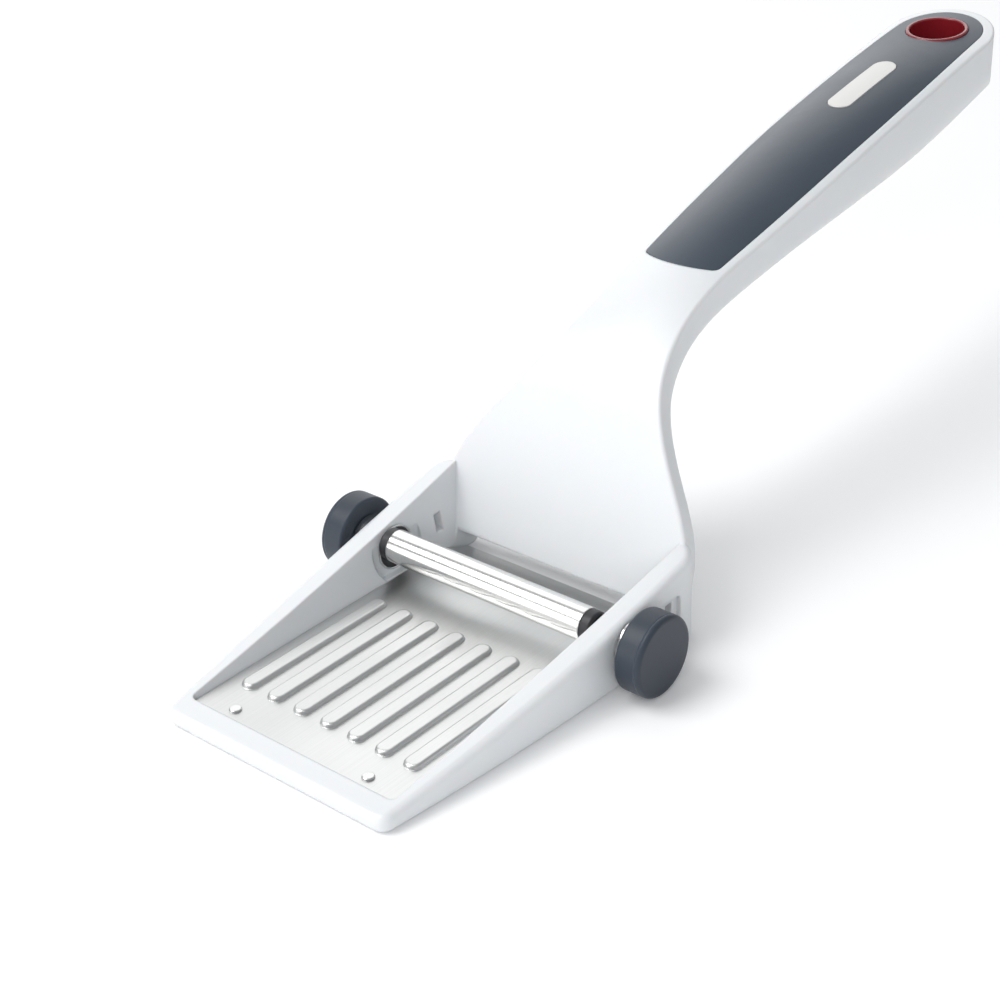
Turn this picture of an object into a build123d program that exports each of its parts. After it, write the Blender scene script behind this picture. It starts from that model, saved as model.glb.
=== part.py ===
from build123d import *
import os
from math import cos, radians, sin, tan

# A hand-held cheese slicer: tray head with blade plate and roller, steep throat, neck and handle.
# Lengths are in mm. +X runs from the nose to the handle, +Z up, and z = 0 is the sole.
# The origin is the middle of the sole, under the blade plate.

# Head: a shallow tray between two side walls
nose_reach = 34.0        # origin to the front edge
front_lip = 6.0          # width of the lip in front of the plate
floor_thickness = 2.9    # tray floor under the plate
lip_rise = 1.0           # lip and wall tops over the plate at the front
head_half = 38.0         # half width outside, at the shoulders
nose_taper = 6.2         # how much less that is at the nose
wall_foot = 8.8          # thickness of the side walls at the plate, at the shoulders
wall_draft = 11.5        # degrees that the inner faces lean outwards
wall_overlap = 7.0       # side walls end this far behind the throat's lip
shoulder_setback = 3.5   # their top line meets the throat this far behind it
shoulder_top = 21.4      # height of the walls there
wall_sag = 0.9           # how far the top line dips below a straight one
shoulder_round = 7.0     # plan radius of the rear corners
rim_round = 1.7          # outer edge of the wall tops
rim_slope = 45.0         # degrees; flatter faces than this count as wall tops
sole_round = 1.6         # lower outer edges
nose_corner = 3.0        # plan radius of the front corners
tray_corner = 1.2        # plan radius of the tray's front corners
mouth_x = 51.0           # rear end of the tray floor
mouth_width = 7.5        # from there to the throat's lip

# Throat, neck and handle follow one curved spine that starts at the throat's lip
lip_z = 5.9              # height of the lip over the mouth
reach = 182.5            # lip to the tail, along X
rise = 87.1              # lip to the top of the handle at the hanging hole
neck_half = 12.2         # half width at the neck
handle_half = 15.0       # half width of the grip
throat_depth = 9.0       # thickness of the throat
handle_depth = 25.0      # thickness of the grip at its fullest
crown = 4.6              # drop of the grip's top from its middle to its edges
heel_setback = 7.1       # from the lip to the lowest point behind the mouth
heel_z = 1.2             # height of that point over the sole
hang_share = 0.9156      # hanging hole, along the reach
spine_shares = [
    # along, up, tilt, flare, swell, depth, crown, fullness
    (-0.021, -0.120, 71.0, 0.840, 0.00, 0.00, -0.12, 1.20),
    (0.000, 0.000, 71.0, 0.870, 0.00, 0.00, -0.12, 1.20),
    (0.019, 0.118, 70.5, 0.905, 0.00, 0.00, -0.12, 1.18),
    (0.036, 0.236, 68.0, 0.768, 0.00, 0.02, -0.12, 1.15),
    (0.054, 0.336, 63.0, 0.548, 0.00, 0.06, -0.10, 1.12),
    (0.077, 0.424, 55.0, 0.341, 0.00, 0.12, -0.05, 1.09),
    (0.108, 0.502, 45.0, 0.180, 0.00, 0.18, 0.02, 1.06),
    (0.149, 0.574, 36.0, 0.076, 0.00, 0.25, 0.15, 1.03),
    (0.202, 0.643, 28.0, 0.018, 0.00, 0.33, 0.35, 1.00),
    (0.266, 0.702, 21.5, 0.000, 0.06, 0.42, 0.58, 0.98),
    (0.330, 0.747, 18.0, 0.000, 0.28, 0.50, 0.78, 0.95),
    (0.415, 0.799, 16.0, 0.000, 0.62, 0.60, 0.94, 0.95),
    (0.512, 0.853, 14.0, 0.000, 0.88, 0.75, 1.00, 0.95),
    (0.620, 0.905, 12.0, 0.000, 0.99, 0.90, 0.98, 0.95),
    (0.721, 0.945, 10.0, 0.000, 1.00, 0.97, 0.88, 0.95),
    (0.819, 0.976, 8.0, 0.000, 1.00, 0.92, 0.65, 0.95),
    (0.912, 1.000, 6.5, 0.000, 1.00, 0.78, 0.38, 0.95),
    (1.022, 1.023, 5.5, 0.000, 1.00, 0.58, 0.20, 0.95),
]
bowl_pole_share = 1.0667 # control points of a bowl lie this much deeper than its bottom
solid_row_count = 8      # rows before the hollow core, which starts at the neck
hollow_row_count = 8     # rows of the hollow core, up to the hanging hole
handle_wall = 2.2        # wall of the hollow handle
crease_round = 0.8       # long edges between the top and the flanks
tail_round = 8.0         # under the tail
tail_lift = 0.9          # where that rounding starts, over the handle's underside
tail_edge_round = 0.5

# Soft grip, its carrier and the badge, set into the handle's top
cover_front_share = 0.2564  # front end of the grip cover, along the reach
cover_bow = 3.7          # its front end bows out by this much
front_margin = 1.8       # cover to the neck's edges, at its front corners
grip_margin = 2.1        # cover to the grip's edges
tail_margin = 3.0        # cover to the tail's edge, round the hanging hole
cover_thickness = 2.6
cover_corner = 3.0
ledge_width = 2.0        # ledge that carries the cover
carrier_thickness = 1.8
fit_gap = 0.1            # clearance of parts laid in pockets
carrier_setback = 20.6   # carrier's rear end to the hanging hole
post_radius = 2.4
post_length = 7.0
post_shares = (0.1389, 0.4049, 0.6708)  # from the cover's front to the hanging hole
boss_wall = 1.8          # of each post's socket
badge_setback = 37.5     # middle of the badge to the hanging hole
badge_length = 27.0
badge_half = 3.25
badge_thickness = 1.2
badge_proud = 0.15

# Hanging hole, lined with a sleeve
ring_bore = 7.2
ring_wall = 1.05
ring_inset = 2.4         # sleeve ends this far inside the underside
ring_proud = 0.15
ring_round = 0.4

# Blade plate: one sheet, flat in the tray, bent down to its edge at the mouth
plate_thickness = 0.8
plate_gap = 0.2          # plate to the tray's walls and lip
bend_overhang = 1.0      # the sheet bends down this far behind the tray floor
edge_z = 0.3             # its height over the sole
bevel_length = 1.6       # ground bevel under the edge
bend_radius = 2.0        # inside of the bend
bend_angle = 20.0        # degrees
rib_count = 7
rib_pitch_share = 0.1353 # of the tray's width
rib_width = 4.4
rib_height = 1.0
rib_setback = 10.0       # from the tray's front to the ribs
rib_clearance = 10.1     # from the ribs to the roller's axis
rib_round = 0.9
rivet_setback = 3.2      # from the tray's front
rivet_margin = 9.8       # from the tray's sides
rivet_radius = 1.4
rivet_head = 0.5
rivet_shank = 0.8
rivet_length = 2.9       # below the head
rivet_dome = 0.3

# Roller on an off-centre axle between two dials
dial_setback = 12.4      # from the dial axis back to the mouth
dial_z = 9.7             # its height over the sole
throw = 3.54             # axle's offset from the dial axis
throw_angle = 135.0      # degrees from +X towards +Z, at rest
roller_radius = 4.0
roller_wall = 1.2
roller_cap_radius = 3.8
roller_cap_flange = 2.5  # dark end beyond the steel tube
roller_cap_plug = 6.0
roller_cap_round = 0.5
end_float = 0.3          # free play between the roller and each hub
axle_radius = 1.1
bearing_wall = 6.8       # wall left outside the flat wells, in which the roller's ends turn
well_gap = 0.6           # round the roller's widest path
running_gap = 0.05       # radial clearance of everything that turns
axle_seat = 5.2          # depth of the axle in each hub
washer_radius = 2.6
washer_thickness = 0.2

# Dials: bush in the wall, hub, knob, cap and screw
bush_radius = 5.5
bush_wall = 0.4
bush_proud = 1.9         # bush beyond the wall
knob_gap = 0.3           # bush to knob
knob_radius = 9.5
knob_length = 6.5        # cap included
knob_back_round = 0.6
knob_web = 1.0           # between the hub's socket and the screw's head
cap_thickness = 1.3      # the cap is the knob's whole outer face
cap_round = 1.0
spigot_radius = 6.0      # its plug in the knob
spigot_length = 0.8
screw_radius = 1.0
screw_head_radius = 2.2
screw_head = 1.3
screw_length = 5.4
ring_groove = 0.7        # friction ring's depth in the hub
ring_width = 1.2
ring_place = 1.0         # from the bush's outer end
relief_setback = 5.5     # from the mouth to the middle of the finger relief in each wall
relief_width = 10.0
relief_height = 8.0
relief_z = 9.6           # its middle
relief_depth = 1.0
relief_corner = 1.5
slit_setback = 2.2       # from the mouth to the slit through each wall
slit_width = 2.4
slit_height = 4.6
slit_z = 9.9

overrun = 3.0            # cutting tools reach past the surfaces that they cut

# Worked out from the sizes above
plate_top = floor_thickness + plate_thickness
front_top = plate_top + lip_rise
tray_front_x = front_lip - nose_reach
nose_half = head_half - nose_taper
tray_half = head_half - wall_foot
well_half = head_half - bearing_wall
lip_x = mouth_x + mouth_width
rear_x = lip_x + wall_overlap
shoulder_x = lip_x + shoulder_setback
heel_x = lip_x + heel_setback
bend_x = mouth_x + bend_overhang
slit_x = mouth_x + slit_setback
relief_x = mouth_x + relief_setback
hang_x = lip_x + reach * hang_share
cover_front_x = lip_x + reach * cover_front_share
cover_shoulder_x = cover_front_x + cover_bow
cover_front_half = neck_half - front_margin
cover_half = handle_half - grip_margin
cover_tail_half = handle_half - tail_margin
carrier_rear_x = hang_x - carrier_setback
badge_x = hang_x - badge_setback
post_places = [cover_front_x + (hang_x - cover_front_x) * share for share in post_shares]
dial_x = mouth_x - dial_setback
roller_x = dial_x + throw * cos(radians(throw_angle))
roller_z = dial_z + throw * sin(radians(throw_angle))
bore_radius = bush_radius - bush_wall
hub_radius = bore_radius - running_gap
tray_rear_x = lip_x + throat_depth
sheet_z = plate_top - plate_thickness
edge_x = bend_x + (plate_top - edge_z) / tan(radians(bend_angle))
bush_end = head_half + bush_proud
knob_back = bush_end + knob_gap
knob_half = knob_back + knob_length
cap_seat = knob_half - cap_thickness
spigot_end = cap_seat - spigot_length
screw_seat = spigot_end - screw_head - fit_gap
hub_end = screw_seat - knob_web
roller_end = well_half - washer_thickness - end_float
roller_half = roller_end - roller_cap_flange
well_radius = throw + roller_radius + well_gap
ring_outer = ring_bore + ring_wall
rib_pitch = 2 * tray_half * rib_pitch_share
rib_front_x = tray_front_x + rib_setback
rib_rear_x = roller_x - rib_clearance
rivet_x = tray_front_x + rivet_setback
rivet_y = tray_half - rivet_margin
hollow_rows = spine_shares[solid_row_count:solid_row_count + hollow_row_count]
top_height = lip_z + rise + handle_depth


def wall_top(x):
    """Height of the side walls' top line: a straight rise with a slight sag."""
    along = (x - tray_front_x) / (shoulder_x - tray_front_x)
    straight = front_top + (shoulder_top - front_top) * along
    return straight - 4 * wall_sag * along * (1 - along)


def outer_half(x):
    """Half width of the head outside: it widens towards the shoulders."""
    along = (x + nose_reach) / (shoulder_x + nose_reach)
    return nose_half + (head_half - nose_half) * (1 - (1 - along) ** 2)


def prism(face, low, high):
    """Upright solid over a plan outline, from one height to another."""
    return extrude(Pos(0, 0, low) * face, amount=high - low)


def turned(radius, start, end, x=dial_x, z=dial_z):
    """Round bar along Y from start to end, on the dial axis unless told otherwise."""
    length = abs(end - start)
    return Pos(x, (start + end) / 2, z) * Rot(90, 0, 0) * Cylinder(radius, length)


# Spine sections

def row_values(row):
    """Place, tilt and size of one section of the spine."""
    along, up, tilt, flare, swell, depth, bow, fullness = row
    half = neck_half + (head_half - neck_half) * flare + (handle_half - neck_half) * swell
    thickness = throat_depth + (handle_depth - throat_depth) * depth
    return lip_x + reach * along, lip_z + rise * up, tilt, half, thickness, crown * bow, fullness


def section(row, top_inset, side_inset, bottom_inset):
    """One section, square to the spine: a shallow bow on top and a deep bowl below."""
    x, z, tilt, half, thickness, drop, fullness = row_values(row)
    tilt = radians(tilt)
    plane = Plane(origin=(x, 0, z), x_dir=(0, 1, 0), z_dir=(cos(tilt), 0, sin(tilt)))
    half = half - side_inset
    edge = -top_inset - drop
    pole = edge - (thickness - bottom_inset + edge) * bowl_pole_share
    inner = half * fullness
    bow = Bezier((-half, edge), (0, edge + 2 * drop), (half, edge))
    bowl = Bezier((half, edge), (half, pole), (inner, pole), (-inner, pole), (-half, pole), (-half, edge))
    return plane * make_face([bow, bowl])


def skin(rows, top_inset=0, side_inset=0, bottom_inset=0):
    """Loft through the spine's sections, drawn in by the insets."""
    return loft([section(row, top_inset, side_inset, bottom_inset) for row in rows])


def surface_z(x):
    """Height of the handle's top on the centre line, between two rows of the spine."""
    places = [row_values(row)[:2] for row in spine_shares]
    for (x0, z0), (x1, z1) in zip(places, places[1:]):
        if x0 <= x <= x1:
            return z0 + (z1 - z0) * (x - x0) / (x1 - x0)
    return places[-1][1]


def up_to_tail():
    """Everything up to the round tail behind the hanging hole, rounded underneath."""
    start = -nose_reach - overrun
    front = Pos((start + hang_x) / 2, 0) * Rectangle(hang_x - start, 2 * (head_half + overrun))
    underside = surface_z(hang_x) - row_values(spine_shares[-2])[4]
    tail = prism(Pos(hang_x, 0) * Circle(handle_half), underside + tail_lift, top_height)
    tail = fillet(tail.faces().sort_by(Axis.Z)[0].edges(), tail_round)
    return prism(front, 0, top_height) + tail


def cover_outline(inset=0):
    """Plan of the soft cover: a bowed front end, nearly straight sides and a round tail."""
    front = cover_front_x + inset
    corner_x = cover_shoulder_x + inset
    corner = cover_front_half - inset
    tail = cover_tail_half - inset
    full = cover_half - inset
    front_arc = ThreePointArc((corner_x, -corner), (front, 0), (corner_x, corner))
    middle = (corner_x + hang_x) / 2
    left = Spline([(corner_x, corner), (middle, full), (hang_x, tail)])
    right = Spline([(hang_x, -tail), (middle, -full), (corner_x, -corner)])
    back = ThreePointArc((hang_x, tail), (hang_x + tail, 0), (hang_x, -tail))
    face = make_face([front_arc, left, back, right])
    corners = face.vertices().sort_by(Axis.X)[:2]
    return fillet(corners, cover_corner)


def badge_outline(inset=0):
    """Plan of the oval badge."""
    return Pos(badge_x, 0) * SlotOverall(badge_length - 2 * inset, 2 * (badge_half - inset))


def tray_outline(inset=0):
    """Plan of the tray at the plate's level, and of the plate that lies in it."""
    front = tray_front_x + inset
    half = tray_half - inset
    length = tray_rear_x - front
    face = Pos(front + length / 2, 0) * Rectangle(length, 2 * half)
    return fillet(face.vertices().sort_by(Axis.X)[:2], tray_corner)


# White moulding

def head_block():
    """Walls and floor of the head, before the tray is cut out."""
    middle = (rear_x - nose_reach) / 2
    left = ThreePointArc((-nose_reach, nose_half), (middle, outer_half(middle)), (rear_x, head_half))
    right = mirror(left, Plane.XZ)
    front = Line((-nose_reach, -nose_half), (-nose_reach, nose_half))
    back = Line((rear_x, -head_half), (rear_x, head_half))
    plan = make_face([left, back, right, front])
    corners = plan.vertices().sort_by(Axis.X)
    plan = fillet(corners[:2], nose_corner)
    plan = fillet(plan.vertices().sort_by(Axis.X)[-2:], shoulder_round)
    start = -nose_reach - overrun
    end = rear_x + overrun
    top_line = ThreePointArc((start, wall_top(start)), (middle, wall_top(middle)), (end, wall_top(end)))
    sole = Polyline((end, wall_top(end)), (end, 0), (start, 0), (start, wall_top(start)))
    outline = make_face([Plane.XZ * top_line, Plane.XZ * sole])
    block = prism(plan, 0, top_height) & extrude(outline, amount=head_half + overrun, both=True)
    top = block.faces().filter_by(lambda face: face.normal_at().Z > sin(radians(rim_slope)))
    block = fillet(top.edges(), rim_round)
    bottom = block.faces().sort_by(Axis.Z)[0]
    return fillet(bottom.edges(), sole_round)


def mouth_cut():
    """Slot through the sole: behind the tray floor and under the throat's lip."""
    points = [
        (mouth_x, -overrun),
        (mouth_x, lip_z + overrun),
        (lip_x, lip_z + overrun),
        (lip_x, lip_z),
        (heel_x, heel_z),
        (heel_x + throat_depth, heel_z),
        (heel_x + throat_depth, -overrun),
    ]
    outline = make_face(Plane.XZ * Polyline(*points, close=True))
    return extrude(outline, amount=tray_half, both=True)


def hang_bar(radius, above, below):
    """Round bar along the hanging hole, from above the handle's top to below it."""
    tilt = radians(row_values(spine_shares[-2])[2])
    normal = (-sin(tilt), 0, cos(tilt))
    plane = Plane(origin=(hang_x, 0, surface_z(hang_x)), x_dir=(0, 1, 0), z_dir=normal)
    return plane * Pos(0, 0, (above - below) / 2) * Cylinder(radius, above + below)


def under_top(depth):
    """Everything in the handle that lies at least this far under its top."""
    return skin(spine_shares[solid_row_count:], depth, 0, -depth)


def raised(face):
    """Upright solid over a plan outline, through the handle only."""
    return prism(face, rise / 2, top_height)


def post_bar(x, radius, top, bottom):
    """Upright bar in the handle, its ends measured down from the handle's top."""
    middle = surface_z(x) - (top + bottom) / 2
    return Pos(x, 0, middle) * Cylinder(radius, bottom - top)


def carrier_outline(inset=0):
    """Plan of the carrier under the cover: it ends before the hanging hole."""
    middle = (cover_front_x + carrier_rear_x) / 2
    block = Pos(middle, 0) * Rectangle(carrier_rear_x - cover_front_x - 2 * inset, 2 * handle_half)
    return cover_outline(ledge_width + inset) & block


def tray_cut():
    """Space between the side walls: it widens upwards."""
    return extrude(Pos(0, 0, sheet_z) * tray_outline(), amount=top_height, taper=-wall_draft)


def outer_spine():
    """Throat, neck and handle outside, rounded along the creases and round the tail."""
    spine = skin(spine_shares)
    spine = fillet(spine.edges().sort_by(SortBy.LENGTH)[-2:], crease_round)
    spine &= up_to_tail()
    behind = spine.edges().filter_by(lambda edge: edge.center().X > hang_x + ring_bore)
    return fillet(behind.sort_by(Axis.Z)[-1], tail_edge_round)


def wall_cuts():
    """Slits behind the bearings and finger reliefs behind the knobs, through both walls."""
    across = head_half + overrun
    slit = Pos(slit_x, 0, slit_z) * Box(slit_width, 2 * across, slit_height)
    place = Pos(relief_x - relief_width / 2, relief_z)
    window = place * RectangleRounded(relief_width, relief_height, relief_corner)
    relief = extrude(Plane.XZ * window, amount=across, both=True)
    core = Pos(relief_x, 0, relief_z) * Box(2 * relief_width, 2 * (head_half - relief_depth), top_height)
    return slit + (relief - core)


def make_body():
    """The white moulding: head, throat, neck and hollow handle."""
    body = head_block() - tray_cut()
    body += outer_spine()
    body -= mouth_cut()
    body -= wall_cuts()
    ledge = cover_thickness + carrier_thickness
    body -= skin(hollow_rows, ledge, handle_wall, handle_wall)
    body -= raised(cover_outline(-fit_gap)) - under_top(cover_thickness)
    body -= raised(carrier_outline(-fit_gap)) & skin(hollow_rows, 0, handle_wall, handle_wall)
    inside = skin(hollow_rows, ledge, handle_wall, handle_wall / 2)
    for x in post_places:
        boss = post_bar(x, post_radius + boss_wall, 0, 2 * handle_depth) & inside
        body += boss - post_bar(x, post_radius + fit_gap, 0, ledge + post_length + fit_gap)
    body -= hang_bar(ring_outer, overrun, handle_depth + overrun)
    for side in (-1, 1):
        body -= turned(bush_radius, side * tray_half, side * (head_half + overrun))
        well = turned(well_radius, side * tray_half / 2, side * well_half)
        body -= well & prism(Rectangle(nose_reach + rear_x, 2 * head_half), plate_top, top_height)
        for rivet in rivet_places():
            body -= rivet_bar(rivet, rivet_shank, rivet_length)
    return body


def rivet_places():
    """Centres of the two rivets on the plate's top."""
    return [(rivet_x, -rivet_y), (rivet_x, rivet_y)]


def rivet_bar(place, radius, length):
    """Upright bar from the plate's top downwards."""
    x, y = place
    return Pos(x, y, plate_top - length / 2) * Cylinder(radius, length)


# Blade plate

def plate_profile():
    """Side view of the sheet: flat, then bent down to the ground edge."""
    fall = radians(bend_angle)
    along = (cos(fall), -sin(fall))
    under = (-sin(fall), -cos(fall))
    front = tray_front_x + plate_gap
    ground_x = edge_x - bevel_length * along[0] + plate_thickness * under[0]
    ground_z = edge_z - bevel_length * along[1] + plate_thickness * under[1]
    points = [
        (front, plate_top),
        (bend_x, plate_top),
        (edge_x, edge_z),
        (ground_x, ground_z),
        (bend_x - plate_thickness * tan(fall / 2), sheet_z),
        (front, sheet_z),
    ]
    face = make_face(Polyline(*points, close=True))
    top = face.vertices().sort_by_distance((bend_x, plate_top))[0]
    face = fillet(top, bend_radius + plate_thickness)
    low = face.vertices().sort_by_distance((bend_x, sheet_z))[0]
    return fillet(low, bend_radius)


def rib(width, length, low, high):
    """Raised rib with round ends, lying along the middle of the plate."""
    middle = (rib_front_x + rib_rear_x) / 2
    return prism(Pos(middle, 0) * SlotOverall(length, width), low, high)


def make_blade():
    """Stainless sheet with pressed ribs, hollow underneath."""
    half = tray_half - plate_gap
    plate = extrude(Plane.XZ * plate_profile(), amount=half, both=True)
    corners = plate.edges().filter_by(Axis.Z).sort_by(Axis.X)[:2]
    plate = fillet(corners, tray_corner - plate_gap)
    length = rib_rear_x - rib_front_x
    outer = rib(rib_width, length, plate_top - plate_thickness / 2, plate_top + rib_height)
    outer = fillet(outer.faces().sort_by(Axis.Z)[-1].edges(), rib_round)
    wall = 2 * plate_thickness
    inner = rib(rib_width - wall, length - wall, sheet_z - overrun, sheet_z + rib_height)
    for index in range(rib_count):
        shift = Pos(0, (index - (rib_count - 1) / 2) * rib_pitch, 0)
        plate = plate + shift * outer - shift * inner
    for place in rivet_places():
        plate -= rivet_bar(place, rivet_shank, 2 * plate_thickness)
    return plate


def make_rivets():
    """Two small rivets, heads on the plate, shanks in the tray floor."""
    rivets = []
    for x, y in rivet_places():
        head = Pos(x, y, plate_top + rivet_head / 2) * Cylinder(rivet_radius, rivet_head)
        head = fillet(head.faces().sort_by(Axis.Z)[-1].edges(), rivet_dome)
        rivets.append(head + rivet_bar((x, y), rivet_shank, rivet_length))
    return Compound(children=rivets)


# Grip, badge and hanging ring

def make_cover():
    """Soft cover, flush with the handle's top and pocketed for the badge."""
    cover = raised(cover_outline()) & skin(spine_shares)
    cover -= under_top(cover_thickness)
    cover -= hang_bar(ring_outer + fit_gap, overrun, handle_depth)
    return cover - (raised(badge_outline(-fit_gap)) - under_top(badge_thickness))


def make_badge():
    """Bare oval inlay, a hair proud of the cover."""
    badge = raised(badge_outline()) & skin(spine_shares[solid_row_count:], -badge_proud)
    return badge - under_top(badge_thickness)


def make_carrier():
    """Rigid tray under the cover, on posts that plug into the handle."""
    ledge = cover_thickness + carrier_thickness
    carrier = raised(carrier_outline()) & under_top(cover_thickness)
    carrier -= under_top(ledge)
    for x in post_places:
        carrier += post_bar(x, post_radius, cover_thickness + carrier_thickness / 2, ledge + post_length)
    return carrier


def make_ring():
    """Sleeve that lines the hanging hole."""
    depth = row_values(spine_shares[-2])[4] - ring_inset
    ring = hang_bar(ring_outer, ring_proud, depth)
    ring -= hang_bar(ring_bore, overrun, handle_depth)
    return fillet(ring.edges().filter_by(GeomType.CIRCLE).sort_by(Axis.Z)[-2:], ring_round)


# Dials and roller: side is 1 for the left, -1 for the right

def dial_bar(radius, start, end, side):
    """Bar on the dial axis, between two distances from the tool's middle."""
    return turned(radius, side * start, side * end)


def axle_bar(radius, start, end, side=1):
    """Bar on the roller's axis."""
    return turned(radius, side * start, side * end, roller_x, roller_z)


def outer_rim(solid, side):
    """Circular edges of the face farthest out along Y."""
    return solid.faces().sort_by(Axis.Y)[-1 if side > 0 else 0].edges()


def make_bush(side):
    """Thin steel bearing bush through the side wall."""
    return dial_bar(bush_radius, well_half, bush_end, side) - dial_bar(bore_radius, 0, knob_half, side)


def make_hub(side):
    """Disc that turns in the bush and carries the axle off-centre."""
    hub = dial_bar(hub_radius, well_half, hub_end, side)
    hub -= axle_bar(axle_radius, 0, well_half + axle_seat, side)
    hub -= dial_bar(screw_radius, screw_seat - screw_length, knob_half, side)
    return hub - friction_ring(side, hub_radius + overrun)


def friction_ring(side, radius):
    """Ring in the hub's groove, near the bush's outer end."""
    start = bush_end - ring_place - ring_width
    end = bush_end - ring_place
    core = hub_radius - ring_groove
    return dial_bar(radius, start, end, side) - dial_bar(core, 0, knob_half, side)


def make_friction_rings():
    """One ring on each hub."""
    return Compound(children=[friction_ring(side, hub_radius) for side in (-1, 1)])


def make_knob(side):
    """Smooth dial knob with seats for the face cap and the screw's head."""
    knob = dial_bar(knob_radius, knob_back, cap_seat, side)
    knob = fillet(outer_rim(knob, -side), knob_back_round)
    knob -= dial_bar(hub_radius, 0, hub_end, side)
    knob -= dial_bar(screw_radius, 0, knob_half, side)
    knob -= dial_bar(screw_head_radius + fit_gap, screw_seat, knob_half, side)
    return knob - dial_bar(spigot_radius + fit_gap, spigot_end, knob_half, side)


def make_cap(side):
    """Disc that closes the knob: its whole face, with a short plug behind."""
    cap = dial_bar(knob_radius, cap_seat, knob_half, side)
    cap = fillet(outer_rim(cap, side), cap_round)
    return cap + dial_bar(spigot_radius, spigot_end, cap_seat, side)


def make_screws():
    """One screw in each knob, its head under the face cap."""
    screws = []
    for side in (-1, 1):
        shank = dial_bar(screw_radius, screw_seat - screw_length, screw_seat, side)
        screws.append(shank + dial_bar(screw_head_radius, screw_seat, screw_seat + screw_head, side))
    return Compound(children=screws)


def make_axle():
    """Steel rod from hub to hub."""
    reach_out = well_half + axle_seat
    return axle_bar(axle_radius, -reach_out, reach_out)


def make_washers():
    """Thin washers on the axle, against the hubs."""
    washers = []
    for side in (-1, 1):
        ring = axle_bar(washer_radius, well_half - washer_thickness, well_half, side)
        washers.append(ring - axle_bar(axle_radius, 0, knob_half, side))
    return Compound(children=washers)


def make_roller():
    """Polished steel tube."""
    tube = axle_bar(roller_radius, -roller_half, roller_half)
    return tube - axle_bar(roller_radius - roller_wall, -knob_half, knob_half)


def make_roller_cap(side):
    """Dark end plug with a flange, which runs on the axle."""
    cap = axle_bar(roller_cap_radius, roller_half, roller_end, side)
    cap = fillet(outer_rim(cap, side), roller_cap_round)
    cap += axle_bar(roller_radius - roller_wall, roller_half - roller_cap_plug, roller_half, side)
    return cap - axle_bar(axle_radius + running_gap, 0, knob_half, side)


if __name__ == "__main__":
    os.makedirs("parts", exist_ok=True)
    nodes = {
        "body_frame": make_body(),
        "blade_plate": make_blade(),
        "plate_rivets": make_rivets(),
        "grip_cover": make_cover(),
        "grip_carrier": make_carrier(),
        "badge": make_badge(),
        "hang_ring": make_ring(),
        "axle_rod": make_axle(),
        "thrust_washers": make_washers(),
        "friction_rings": make_friction_rings(),
        "knob_screws": make_screws(),
        "roller_tube": make_roller(),
    }
    for name, side in {"left": 1, "right": -1}.items():
        nodes["bearing_bush_" + name] = make_bush(side)
        nodes["dial_hub_" + name] = make_hub(side)
        nodes["dial_knob_" + name] = make_knob(side)
        nodes["knob_cap_" + name] = make_cap(side)
        nodes["roller_cap_" + name] = make_roller_cap(side)
    for node, solid in nodes.items():
        export_step(solid, "parts/" + node + ".step")
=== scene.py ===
"""Looks and stage of a hand-held cheese slicer: a finish for every node, floor, lights and camera."""

import math

import bmesh
import bpy
from mathutils import Matrix, Vector

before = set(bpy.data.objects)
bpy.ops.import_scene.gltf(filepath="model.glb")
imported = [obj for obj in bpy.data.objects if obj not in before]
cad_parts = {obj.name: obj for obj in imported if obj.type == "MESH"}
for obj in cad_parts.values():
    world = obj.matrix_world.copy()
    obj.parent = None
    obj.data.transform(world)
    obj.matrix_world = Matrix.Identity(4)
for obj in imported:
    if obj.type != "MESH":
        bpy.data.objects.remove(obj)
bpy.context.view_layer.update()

bl_info = {
    "name": "Cheese slicer looks",
    "version": (1, 0, 0),
    "blender": (4, 5, 0),
    "location": "View3D > Sidebar > Slicer",
    "description": "Moulded plastic, soft grip, stainless steel and red ring, in a plain studio",
    "category": "Object",
}

# Fixed values of the finishes
GRAIN_DEPTH = 0.00004        # metres, of the moulded grain
LINE_DEPTH = 0.00003         # metres, of the drawn lines
EDGE_SAMPLES = 6
EDGE_MASK_GAIN = 6.0         # how fast the edge mask rises as the softened normal turns away
STREAK_GAINS = (0.88, 1.10)  # darkest and lightest drawn line, over the steel's colour
STEEL_HIGHLIGHT_GAIN = 1.2        # painted highlight along an edge of the steel, over its colour
SMEAR_GAIN = 2.0             # two noises of about a half multiply to a quarter, and this doubles it again
FLOOR_GAINS = (0.99, 1.01)   # darkest and lightest patch of the floor

# Fixed values of the stage
LIGHT_TARGET = (0.06, 0.0, 0.03)         # middle of the head, where every light aims
SKY_COLOUR = (0.95, 0.975, 1.0, 1.0)
SENSOR_WIDTH = 36.0                      # mm
NEAREST_VISIBLE = 0.01                   # metres before the camera


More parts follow.
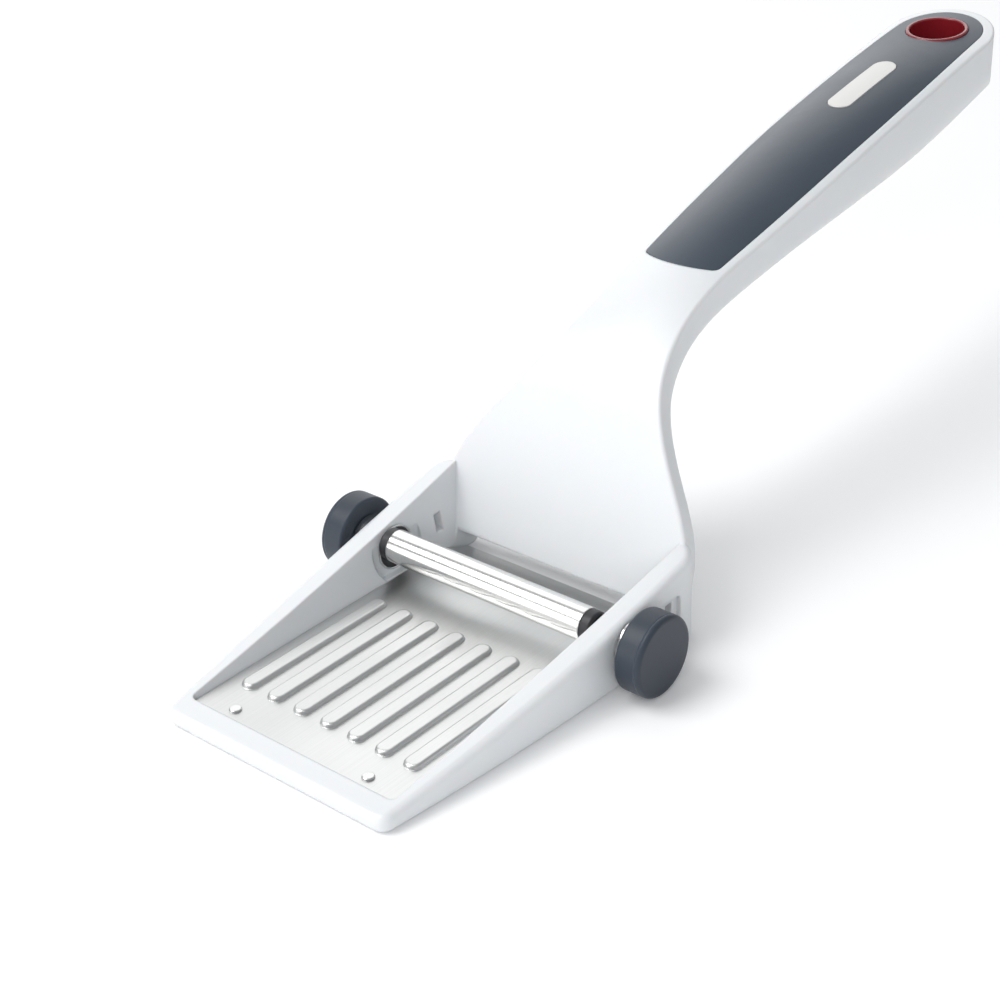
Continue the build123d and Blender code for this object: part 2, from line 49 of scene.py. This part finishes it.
class SlicerFinish(bpy.types.PropertyGroup):
    """Colours and surface values of the slicer's finishes."""

    white: bpy.props.FloatVectorProperty(
        name="White moulding", description="Colour of the tray, throat and handle",
        subtype="COLOR", size=3, min=0.0, max=1.0, default=(0.69, 0.704, 0.718))
    grip: bpy.props.FloatVectorProperty(
        name="Soft grip", description="Colour of the cover along the handle",
        subtype="COLOR", size=3, min=0.0, max=1.0, default=(0.036, 0.049, 0.068))
    dial: bpy.props.FloatVectorProperty(
        name="Dials", description="Colour of the knobs and their caps",
        subtype="COLOR", size=3, min=0.0, max=1.0, default=(0.034, 0.043, 0.058))
    bearing: bpy.props.FloatVectorProperty(
        name="Bearing plastic", description="Colour of the roller's ends and the hubs",
        subtype="COLOR", size=3, min=0.0, max=1.0, default=(0.018, 0.018, 0.021))
    ring: bpy.props.FloatVectorProperty(
        name="Hanging ring", description="Colour of the red sleeve",
        subtype="COLOR", size=3, min=0.0, max=1.0, default=(0.20, 0.010, 0.016))
    badge: bpy.props.FloatVectorProperty(
        name="Badge", description="Colour of the bare oval inlay",
        subtype="COLOR", size=3, min=0.0, max=1.0, default=(0.60, 0.59, 0.57))
    steel: bpy.props.FloatVectorProperty(
        name="Stainless steel", description="Colour of the blade plate",
        subtype="COLOR", size=3, min=0.0, max=1.0, default=(0.66, 0.665, 0.66))
    polish: bpy.props.FloatVectorProperty(
        name="Polished steel", description="Colour of the roller and bushes",
        subtype="COLOR", size=3, min=0.0, max=1.0, default=(0.74, 0.735, 0.72))
    edge_radius: bpy.props.FloatProperty(
        name="Edge radius", description="How far the finishes soften a sharp edge",
        subtype="DISTANCE", unit="LENGTH", min=0.0, default=0.0004)


class SlicerStage(bpy.types.PropertyGroup):
    """Floor, light and camera."""

    floor_width: bpy.props.FloatProperty(
        name="Floor width", description="Side of the square floor",
        subtype="DISTANCE", unit="LENGTH", min=0.5, default=8.0)
    floor_drop: bpy.props.FloatProperty(
        name="Floor drop", description="How far the floor lies under the sole, clear of its face",
        subtype="DISTANCE", unit="LENGTH", min=0.0, default=0.0001)
    floor_colour: bpy.props.FloatVectorProperty(
        name="Floor", description="Colour of the floor",
        subtype="COLOR", size=3, min=0.0, max=1.0, default=(0.97, 0.97, 0.97))
    sky_strength: bpy.props.FloatProperty(
        name="Sky", description="Strength of the even light all round", min=0.0, default=0.40)
    key_power: bpy.props.FloatProperty(
        name="Key light", description="Power of the large light high on the left",
        subtype="POWER", unit="POWER", min=0.0, default=12.4)
    back_power: bpy.props.FloatProperty(
        name="Back light", description="Power of the wide light behind the slicer, which the steel mirrors",
        subtype="POWER", unit="POWER", min=0.0, default=8.5)
    fill_power: bpy.props.FloatProperty(
        name="Fill light", description="Power of the light beside the camera",
        subtype="POWER", unit="POWER", min=0.0, default=6.2)
    front_power: bpy.props.FloatProperty(
        name="Front light", description="Power of the low light before the nose, which the dials' rims catch",
        subtype="POWER", unit="POWER", min=0.0, default=2.4)
    camera_place: bpy.props.FloatVectorProperty(
        name="Camera", description="Where the camera stands",
        subtype="TRANSLATION", unit="LENGTH", size=3, default=(-0.25029, -0.25515, 0.24688))
    camera_azimuth: bpy.props.FloatProperty(
        name="Azimuth", description="Camera's angle round the slicer, from the front",
        subtype="ANGLE", unit="ROTATION", default=math.radians(-48.77))
    camera_elevation: bpy.props.FloatProperty(
        name="Elevation", description="Camera's angle over the floor",
        subtype="ANGLE", unit="ROTATION", default=math.radians(29.07))
    camera_roll: bpy.props.FloatProperty(
        name="Roll", description="Camera's turn about its own axis",
        subtype="ANGLE", unit="ROTATION", default=math.radians(-2.3))
    camera_lens: bpy.props.FloatProperty(
        name="Lens", description="Focal length in mm on a 36 mm square",
        subtype="DISTANCE_CAMERA", min=1.0, default=72.0)


# Node helpers

def add_node(tree, kind, **values):
    """New node with its properties set."""
    node = tree.nodes.new(kind)
    for name, value in values.items():
        setattr(node, name, value)
    return node


def connect(tree, source, target):
    """Link from an output to an input."""
    tree.links.new(source, target)


def feed(tree, target, source):
    """Link a socket, or set a plain value."""
    if isinstance(source, bpy.types.NodeSocket):
        connect(tree, source, target)
    else:
        target.default_value = source


def maths(tree, operation, first, second):
    """Math node; returns its output."""
    node = add_node(tree, "ShaderNodeMath", operation=operation)
    feed(tree, node.inputs[0], first)
    feed(tree, node.inputs[1], second)
    return node.outputs[0]


def spread(tree, value, low, high):
    """Maps 0 to 1 onto low to high."""
    node = add_node(tree, "ShaderNodeMapRange")
    feed(tree, node.inputs["Value"], value)
    feed(tree, node.inputs["To Min"], low)
    feed(tree, node.inputs["To Max"], high)
    return node.outputs["Result"]


def blend_colours(tree, factor, first, second):
    """Mix of two colours."""
    node = add_node(tree, "ShaderNodeMix", data_type="RGBA")
    feed(tree, node.inputs["Factor"], factor)
    feed(tree, node.inputs["A"], first)
    feed(tree, node.inputs["B"], second)
    return node.outputs["Result"]


def shade(colour, gain):
    """Colour with its brightness changed, as four numbers."""
    return (*[min(1.0, channel * gain) for channel in colour], 1.0)


def place_on_part(tree):
    """Coordinates on the part, in metres."""
    return add_node(tree, "ShaderNodeTexCoord").outputs["Object"]


def new_group(name, inputs, outputs):
    """Empty shader node group with named sockets; returns it with its input and output nodes."""
    group = bpy.data.node_groups.new(name, "ShaderNodeTree")
    for label, kind, default in inputs:
        socket = group.interface.new_socket(name=label, in_out="INPUT", socket_type=kind)
        socket.default_value = default
    for label, kind in outputs:
        group.interface.new_socket(name=label, in_out="OUTPUT", socket_type=kind)
    return group, group.nodes.new("NodeGroupInput"), group.nodes.new("NodeGroupOutput")


def use_group(tree, name, **values):
    """Places a node group in a material; returns its node."""
    node = add_node(tree, "ShaderNodeGroup", node_tree=bpy.data.node_groups[name])
    for label, value in values.items():
        feed(tree, node.inputs[label.replace("_", " ")], value)
    return node


# Shared effects

def build_grain():
    """Moulded grain: fine noise for the height, broad noise for tone."""
    group, given, result = new_group(
        "Moulded grain",
        [("Fine", "NodeSocketFloat", 2500.0), ("Broad", "NodeSocketFloat", 60.0)],
        [("Height", "NodeSocketFloat"), ("Tone", "NodeSocketFloat")])
    place = place_on_part(group)
    fine = add_node(group, "ShaderNodeTexNoise")
    connect(group, place, fine.inputs["Vector"])
    connect(group, given.outputs["Fine"], fine.inputs["Scale"])
    feed(group, fine.inputs["Detail"], 2.0)
    broad = add_node(group, "ShaderNodeTexNoise")
    connect(group, place, broad.inputs["Vector"])
    connect(group, given.outputs["Broad"], broad.inputs["Scale"])
    feed(group, broad.inputs["Detail"], 3.0)
    connect(group, fine.outputs["Fac"], result.inputs["Height"])
    connect(group, broad.outputs["Fac"], result.inputs["Tone"])


def build_drawn_lines():
    """Fine drawn lines: noise pulled out along one direction."""
    group, given, result = new_group(
        "Drawn lines",
        [("Stretch", "NodeSocketVector", (20.0, 4000.0, 20.0)), ("Smears", "NodeSocketFloat", 35.0)],
        [("Height", "NodeSocketFloat"), ("Tone", "NodeSocketFloat")])
    place = place_on_part(group)
    pulled = add_node(group, "ShaderNodeVectorMath", operation="MULTIPLY")
    connect(group, place, pulled.inputs[0])
    connect(group, given.outputs["Stretch"], pulled.inputs[1])
    lines = add_node(group, "ShaderNodeTexNoise")
    connect(group, pulled.outputs[0], lines.inputs["Vector"])
    feed(group, lines.inputs["Scale"], 1.0)
    feed(group, lines.inputs["Detail"], 3.0)
    feed(group, lines.inputs["Roughness"], 0.6)
    smears = add_node(group, "ShaderNodeTexNoise")
    connect(group, place, smears.inputs["Vector"])
    connect(group, given.outputs["Smears"], smears.inputs["Scale"])
    connect(group, lines.outputs["Fac"], result.inputs["Height"])
    connect(group, smears.outputs["Fac"], result.inputs["Tone"])


def build_soft_edges():
    """Softened edges: a normal rounded over a radius, and a mask that is 1 along sharp edges, where the
    finishes paint a highlight.
    """
    group, given, result = new_group(
        "Soft edges",
        [("Radius", "NodeSocketFloat", 0.0004)],
        [("Normal", "NodeSocketVector"), ("Edge", "NodeSocketFloat")])
    bevel = add_node(group, "ShaderNodeBevel", samples=EDGE_SAMPLES)
    connect(group, given.outputs["Radius"], bevel.inputs["Radius"])
    geometry = add_node(group, "ShaderNodeNewGeometry")
    dot = add_node(group, "ShaderNodeVectorMath", operation="DOT_PRODUCT")
    connect(group, bevel.outputs["Normal"], dot.inputs[0])
    connect(group, geometry.outputs["Normal"], dot.inputs[1])
    away = maths(group, "SUBTRACT", 1.0, dot.outputs["Value"])
    edge = maths(group, "MULTIPLY", away, EDGE_MASK_GAIN)
    held = add_node(group, "ShaderNodeClamp")
    connect(group, edge, held.inputs["Value"])
    connect(group, bevel.outputs["Normal"], result.inputs["Normal"])
    connect(group, held.outputs["Result"], result.inputs["Edge"])


# Finishes

def new_finish(name):
    """Material with a Principled shader; returns the material, its tree and the shader."""
    material = bpy.data.materials.new(name)
    material.use_nodes = True
    tree = material.node_tree
    tree.nodes.clear()
    shader = tree.nodes.new("ShaderNodeBsdfPrincipled")
    output = tree.nodes.new("ShaderNodeOutputMaterial")
    connect(tree, shader.outputs["BSDF"], output.inputs["Surface"])
    return material, tree, shader


def set_constants(shader, **values):
    """Plain values on the shader's own sockets."""
    for label, value in values.items():
        shader.inputs[label.replace("_", " ")].default_value = value


def raise_relief(tree, shader, height, distance, strength, normal):
    """Bump from a height, over a softened normal."""
    bump = add_node(tree, "ShaderNodeBump")
    feed(tree, bump.inputs["Strength"], strength)
    feed(tree, bump.inputs["Distance"], distance)
    connect(tree, height, bump.inputs["Height"])
    connect(tree, normal, bump.inputs["Normal"])
    connect(tree, bump.outputs["Normal"], shader.inputs["Normal"])


def moulded_finish(
        name, colour, roughness, spread_width, tone, fine, relief, edge_highlight_gain, radius, **constants):
    """Plastic or rubber with moulded grain, slightly uneven tone and a painted highlight that lightens every
    sharp edge.
    """
    material, tree, shader = new_finish(name)
    grain = use_group(tree, "Moulded grain", Fine=fine)
    soft = use_group(tree, "Soft edges", Radius=radius)
    uneven = blend_colours(tree, grain.outputs["Tone"], shade(colour, 1 - tone), shade(colour, 1 + tone))
    # Painted highlight: every sharp edge is lightened by the edge gain, standing in for the light a rounded
    # edge catches.
    painted_edge_highlight = blend_colours(tree, soft.outputs["Edge"], uneven, shade(colour, edge_highlight_gain))
    connect(tree, painted_edge_highlight, shader.inputs["Base Color"])
    rough = spread(tree, grain.outputs["Tone"], roughness - spread_width, roughness + spread_width)
    connect(tree, rough, shader.inputs["Roughness"])
    raise_relief(tree, shader, grain.outputs["Height"], GRAIN_DEPTH, relief, soft.outputs["Normal"])
    set_constants(shader, **constants)
    return material


def steel_finish(name, colour, roughness, spread_width, stretch, relief, radius, **constants):
    """Bare steel with drawn lines, faint smears and a painted highlight along its edges."""
    material, tree, shader = new_finish(name)
    lines = use_group(tree, "Drawn lines", Stretch=stretch)
    soft = use_group(tree, "Soft edges", Radius=radius)
    dark, light = [shade(colour, gain) for gain in STREAK_GAINS]
    streaks = blend_colours(tree, lines.outputs["Height"], dark, light)
    # Painted highlight: the steel is lighter along every sharp edge.
    steel_edge_highlight = blend_colours(tree, soft.outputs["Edge"], streaks, shade(colour, STEEL_HIGHLIGHT_GAIN))
    connect(tree, steel_edge_highlight, shader.inputs["Base Color"])
    both = maths(tree, "MULTIPLY", lines.outputs["Height"], lines.outputs["Tone"])
    smeared = maths(tree, "MULTIPLY", both, SMEAR_GAIN)
    rough = spread(tree, smeared, roughness - spread_width, roughness + spread_width)
    connect(tree, rough, shader.inputs["Roughness"])
    raise_relief(tree, shader, lines.outputs["Height"], LINE_DEPTH, relief, soft.outputs["Normal"])
    set_constants(shader, Metallic=1.0, **constants)
    return material


def dress(nodes, material):
    """Gives CAD nodes a finish."""
    for name in nodes:
        mesh_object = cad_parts[name]
        mesh_object.data.materials.clear()
        mesh_object.data.materials.append(material)


class SlicerEffects(bpy.types.Operator):
    """Build the shared effects: grain, drawn lines and soft edges."""

    bl_idname = "slicer.effects"
    bl_label = "Shared effects"

    def execute(self, context):
        build_grain()
        build_drawn_lines()
        build_soft_edges()
        return {"FINISHED"}


class SlicerBody(bpy.types.Operator):
    """Finish the white moulding and the bare badge."""

    bl_idname = "slicer.body"
    bl_label = "Body and badge"

    def execute(self, context):
        finish = context.scene.slicer_finish
        white = moulded_finish(
            "White satin moulding", finish.white, roughness=0.36, spread_width=0.04, tone=0.012, fine=1500.0,
            relief=0.10, edge_highlight_gain=1.05, radius=2 * finish.edge_radius,
            Coat_Weight=0.12, Coat_Roughness=0.25, Subsurface_Weight=0.15, Subsurface_Scale=0.002)
        badge = moulded_finish(
            "Bare badge", finish.badge, roughness=0.30, spread_width=0.05, tone=0.02, fine=900.0,
            relief=0.12, edge_highlight_gain=1.1, radius=finish.edge_radius, Coat_Weight=0.3, Coat_Roughness=0.2)
        dress(["body_frame"], white)
        dress(["badge"], badge)
        return {"FINISHED"}


class SlicerGrip(bpy.types.Operator):
    """Finish the soft grip and the carrier under it."""

    bl_idname = "slicer.grip"
    bl_label = "Soft grip"

    def execute(self, context):
        finish = context.scene.slicer_finish
        soft = moulded_finish(
            "Soft-touch rubber", finish.grip, roughness=0.38, spread_width=0.05, tone=0.05, fine=3200.0,
            relief=0.35, edge_highlight_gain=1.5, radius=finish.edge_radius,
            Sheen_Weight=0.25, Sheen_Roughness=0.4, Specular_IOR_Level=0.45)
        inner = moulded_finish(
            "Grip carrier plastic", finish.dial, roughness=0.45, spread_width=0.05, tone=0.03, fine=1200.0,
            relief=0.15, edge_highlight_gain=1.2, radius=finish.edge_radius)
        dress(["grip_cover"], soft)
        dress(["grip_carrier"], inner)
        return {"FINISHED"}


class SlicerRing(bpy.types.Operator):
    """Finish the red hanging ring."""

    bl_idname = "slicer.ring"
    bl_label = "Hanging ring"

    def execute(self, context):
        finish = context.scene.slicer_finish
        red = moulded_finish(
            "Red ring plastic", finish.ring, roughness=0.26, spread_width=0.04, tone=0.05, fine=900.0,
            relief=0.08, edge_highlight_gain=1.3, radius=finish.edge_radius,
            Coat_Weight=0.5, Coat_Roughness=0.1, Subsurface_Weight=0.1, Subsurface_Scale=0.001)
        dress(["hang_ring"], red)
        return {"FINISHED"}


class SlicerPlate(bpy.types.Operator):
    """Finish the stainless blade plate and its rivets."""

    bl_idname = "slicer.plate"
    bl_label = "Blade plate"

    def execute(self, context):
        finish = context.scene.slicer_finish
        sheet = steel_finish(
            "Satin stainless sheet", finish.steel, roughness=0.40, spread_width=0.08,
            stretch=(25.0, 3500.0, 60.0), relief=0.25, radius=finish.edge_radius, Anisotropic=0.4)
        rivet = steel_finish(
            "Rivet steel", finish.steel, roughness=0.30, spread_width=0.08,
            stretch=(900.0, 900.0, 900.0), relief=0.2, radius=finish.edge_radius)
        dress(["blade_plate"], sheet)
        dress(["plate_rivets"], rivet)
        return {"FINISHED"}


class SlicerRoller(bpy.types.Operator):
    """Finish the roller, its end caps, the axle and the washers."""

    bl_idname = "slicer.roller"
    bl_label = "Roller"

    def execute(self, context):
        finish = context.scene.slicer_finish
        tube = steel_finish(
            "Polished roller steel", finish.polish, roughness=0.16, spread_width=0.05,
            stretch=(12.0, 2600.0, 12.0), relief=0.10, radius=finish.edge_radius)
        plain = steel_finish(
            "Turned steel", finish.steel, roughness=0.30, spread_width=0.08,
            stretch=(40.0, 1800.0, 40.0), relief=0.2, radius=finish.edge_radius)
        dark = moulded_finish(
            "Bearing plastic", finish.bearing, roughness=0.42, spread_width=0.05, tone=0.05, fine=1800.0,
            relief=0.2, edge_highlight_gain=2.0, radius=finish.edge_radius)
        dress(["roller_tube"], tube)
        dress(["axle_rod", "thrust_washers", "knob_screws"], plain)
        dress(["roller_cap_left", "roller_cap_right"], dark)
        dress(["dial_hub_left", "dial_hub_right", "friction_rings"], dark)
        return {"FINISHED"}


class SlicerDials(bpy.types.Operator):
    """Finish the knobs, their face caps and the bearing bushes."""

    bl_idname = "slicer.dials"
    bl_label = "Dials"

    def execute(self, context):
        finish = context.scene.slicer_finish
        knob = moulded_finish(
            "Dial plastic", finish.dial, roughness=0.40, spread_width=0.04, tone=0.04, fine=2600.0,
            relief=0.25, edge_highlight_gain=1.9, radius=1.5 * finish.edge_radius, Specular_IOR_Level=0.34)
        bush = steel_finish(
            "Bush steel", finish.polish, roughness=0.20, spread_width=0.05,
            stretch=(20.0, 2200.0, 20.0), relief=0.15, radius=finish.edge_radius)
        dress(["dial_knob_left", "dial_knob_right", "knob_cap_left", "knob_cap_right"], knob)
        dress(["bearing_bush_left", "bearing_bush_right"], bush)
        return {"FINISHED"}


# Stage

def build_floor(stage):
    """Square pale floor under the sole."""
    half = stage.floor_width / 2
    shape = bmesh.new()
    outline = ((-half, -half), (half, -half), (half, half), (-half, half))
    corners = [shape.verts.new((x, y, -stage.floor_drop)) for x, y in outline]
    shape.faces.new(corners)
    mesh = bpy.data.meshes.new("floor")
    shape.to_mesh(mesh)
    shape.free()
    floor = bpy.data.objects.new("floor", mesh)
    bpy.context.scene.collection.objects.link(floor)
    material, tree, shader = new_finish("Pale floor")
    grain = use_group(tree, "Moulded grain", Fine=400.0, Broad=3.0)
    dark, light = [shade(stage.floor_colour, gain) for gain in FLOOR_GAINS]
    tone = blend_colours(tree, grain.outputs["Tone"], dark, light)
    connect(tree, tone, shader.inputs["Base Color"])
    set_constants(shader, Roughness=0.7, Specular_IOR_Level=0.2)
    mesh.materials.append(material)


def build_light(name, place, size, power, colour=(1.0, 1.0, 1.0), mirrored=True):
    """Soft square light aimed at the head; one that isn't mirrored shows in no glossy surface."""
    data = bpy.data.lights.new(name, "AREA")
    data.shape = "SQUARE"
    data.size = size
    data.energy = power
    data.color = colour
    light = bpy.data.objects.new(name, data)
    light.location = place
    away = Vector(place) - Vector(LIGHT_TARGET)
    light.rotation_euler = away.to_track_quat("Z", "Y").to_euler()
    light.visible_glossy = mirrored
    bpy.context.scene.collection.objects.link(light)


def build_camera(stage):
    """Camera where the photograph was taken from."""
    azimuth, elevation, roll = stage.camera_azimuth, stage.camera_elevation, stage.camera_roll
    back = Vector((
        math.sin(azimuth) * math.cos(elevation),
        -math.cos(azimuth) * math.cos(elevation),
        math.sin(elevation),
    ))
    level = Vector((math.cos(azimuth), math.sin(azimuth), 0.0))
    upright = back.cross(level)
    right = math.cos(roll) * level + math.sin(roll) * upright
    up = -math.sin(roll) * level + math.cos(roll) * upright
    data = bpy.data.cameras.new("photo_camera")
    data.lens = stage.camera_lens
    data.sensor_width = SENSOR_WIDTH
    data.sensor_fit = "AUTO"
    data.clip_start = NEAREST_VISIBLE
    camera = bpy.data.objects.new("photo_camera", data)
    turn = Matrix((right, up, back)).transposed().to_4x4()
    camera.matrix_world = Matrix.Translation(stage.camera_place) @ turn
    bpy.context.scene.collection.objects.link(camera)
    bpy.context.scene.camera = camera


class SlicerStageBuild(bpy.types.Operator):
    """Build the floor, the lights, the sky and the camera."""

    bl_idname = "slicer.stage"
    bl_label = "Studio"

    def execute(self, context):
        stage = context.scene.slicer_stage
        build_floor(stage)
        build_light("key", place=(-0.55, 0.55, 1.2), size=0.9, power=stage.key_power)
        build_light(
            "back", place=(0.95, 0.95, 0.85), size=1.5, power=stage.back_power, colour=(1.0, 1.0, 0.99))
        build_light(
            "fill", place=(-0.85, -0.65, 0.6), size=0.8, power=stage.fill_power,
            colour=(0.97, 0.985, 1.0), mirrored=False)
        build_light("front", place=(-0.95, 0.5, 0.3), size=0.6, power=stage.front_power)
        world = bpy.data.worlds.new("sky")
        world.use_nodes = True
        background = world.node_tree.nodes["Background"]
        background.inputs["Color"].default_value = SKY_COLOUR
        background.inputs["Strength"].default_value = stage.sky_strength
        context.scene.world = world
        context.scene.view_settings.view_transform = "Standard"
        build_camera(stage)
        return {"FINISHED"}


class SlicerPanel(bpy.types.Panel):
    """The slicer's steps and values in the sidebar."""

    bl_idname = "VIEW3D_PT_slicer"
    bl_label = "Cheese slicer"
    bl_space_type = "VIEW_3D"
    bl_region_type = "UI"
    bl_category = "Slicer"

    def draw(self, context):
        layout = self.layout
        for step in STEPS:
            layout.operator(step.bl_idname)
        for group in (context.scene.slicer_finish, context.scene.slicer_stage):
            box = layout.box()
            for name in group.__annotations__:
                box.prop(group, name)


STEPS = (
    SlicerEffects, SlicerBody, SlicerGrip, SlicerRing,
    SlicerPlate, SlicerRoller, SlicerDials, SlicerStageBuild,
)
CLASSES = (SlicerFinish, SlicerStage, *STEPS, SlicerPanel)


def register():
    """Add the classes and their values to Blender."""
    for item in CLASSES:
        bpy.utils.register_class(item)
    bpy.types.Scene.slicer_finish = bpy.props.PointerProperty(type=SlicerFinish)
    bpy.types.Scene.slicer_stage = bpy.props.PointerProperty(type=SlicerStage)


def unregister():
    """Take them out again."""
    del bpy.types.Scene.slicer_stage
    del bpy.types.Scene.slicer_finish
    for item in reversed(CLASSES):
        bpy.utils.unregister_class(item)


def main():
    """Register the classes and their values, then run every step in order."""
    register()
    bpy.ops.slicer.effects()
    bpy.ops.slicer.body()
    bpy.ops.slicer.grip()
    bpy.ops.slicer.ring()
    bpy.ops.slicer.plate()
    bpy.ops.slicer.roller()
    bpy.ops.slicer.dials()
    bpy.ops.slicer.stage()


if __name__ == "__main__":
    main()
